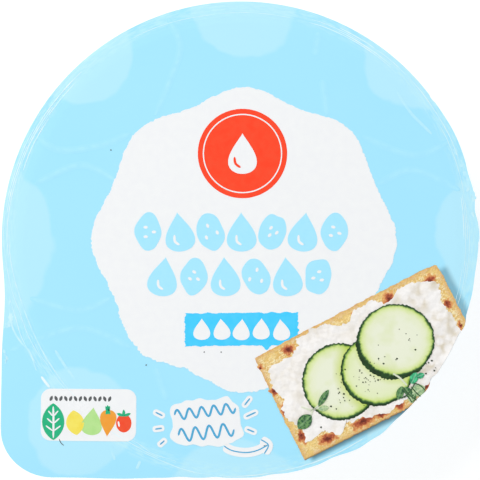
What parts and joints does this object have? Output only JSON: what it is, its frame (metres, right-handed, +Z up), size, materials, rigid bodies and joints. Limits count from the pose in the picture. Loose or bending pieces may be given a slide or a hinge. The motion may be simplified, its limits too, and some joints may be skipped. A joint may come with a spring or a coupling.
{
  "type": "sealed cottage cheese pot",
  "caption": "Shut round pot of cottage cheese with a printed peel-off film lid and a square pull tab, standing on its foot ring.",
  "frame": {"origin": "middle of the foot, on the plane the pot stands on, under the middle of the lid", "axes": "+Z up; the picture's right is +X and its top is +Y, so the pull tab points to -X -Y"},
  "size_m": [0.096, 0.096, 0.0457],
  "materials": {
    "white_polypropylene": "moulded, softly glossy",
    "printed_film": "printed polyester film, satin"
  },
  "bodies": {
    "root": {"tub": "white_polypropylene", "lid": "printed_film"}
  },
  "joints": []
}
